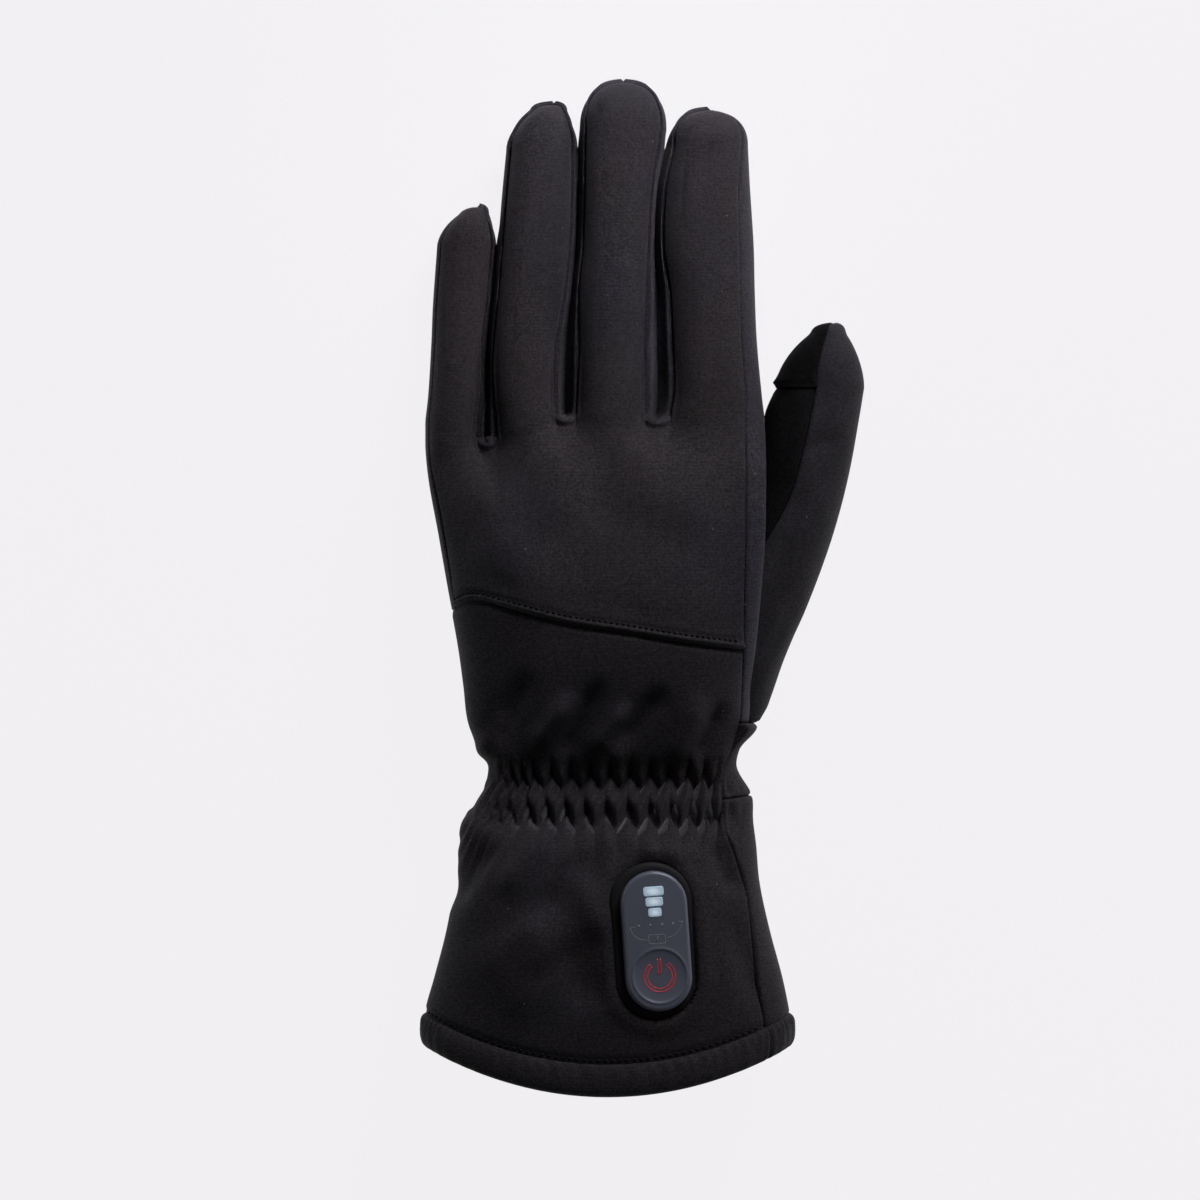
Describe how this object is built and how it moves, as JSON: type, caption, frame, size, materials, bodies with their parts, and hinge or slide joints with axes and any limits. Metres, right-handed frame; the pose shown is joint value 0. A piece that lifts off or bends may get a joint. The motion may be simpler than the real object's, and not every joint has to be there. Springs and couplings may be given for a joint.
{
  "type": "heated glove",
  "caption": "Left-hand softshell heated glove lying on its palm, with shirred wrist, long padded cuff and a moulded heat control let into the back of the cuff.",
  "frame": {"origin": "middle of the palm's flat underside, where the glove rests", "axes": "+Y towards the fingertips, +X towards the thumb, +Z out of the back of the hand"},
  "size_m": [0.1245, 0.2857, 0.0442],
  "materials": {
    "softshell": "matte black softshell with a fine knitted grain",
    "side_shell": "matte black stretch softshell",
    "nap": "napped black touch fabric",
    "control": "soft moulded dark grey cover",
    "lights": "pale blue translucent windows"
  },
  "bodies": {
    "root": {"back_panel": "softshell", "palm_panel": "softshell", "fourchette_index_middle": "side_shell", "fourchette_middle_ring": "side_shell", "fourchette_ring_little": "side_shell", "index_side_panel": "side_shell", "little_side_panel": "side_shell", "cuff_back": "softshell", "wrist_strip": "softshell", "cuff_palm": "softshell", "hem_binding": "softshell", "thumb_outer_panel": "side_shell", "thumb_inner_panel": "softshell", "thumb_touch_patch": "nap", "control_housing": "control", "light_bar_1": "lights", "light_bar_2": "lights", "light_bar_3": "lights"}
  },
  "joints": []
}
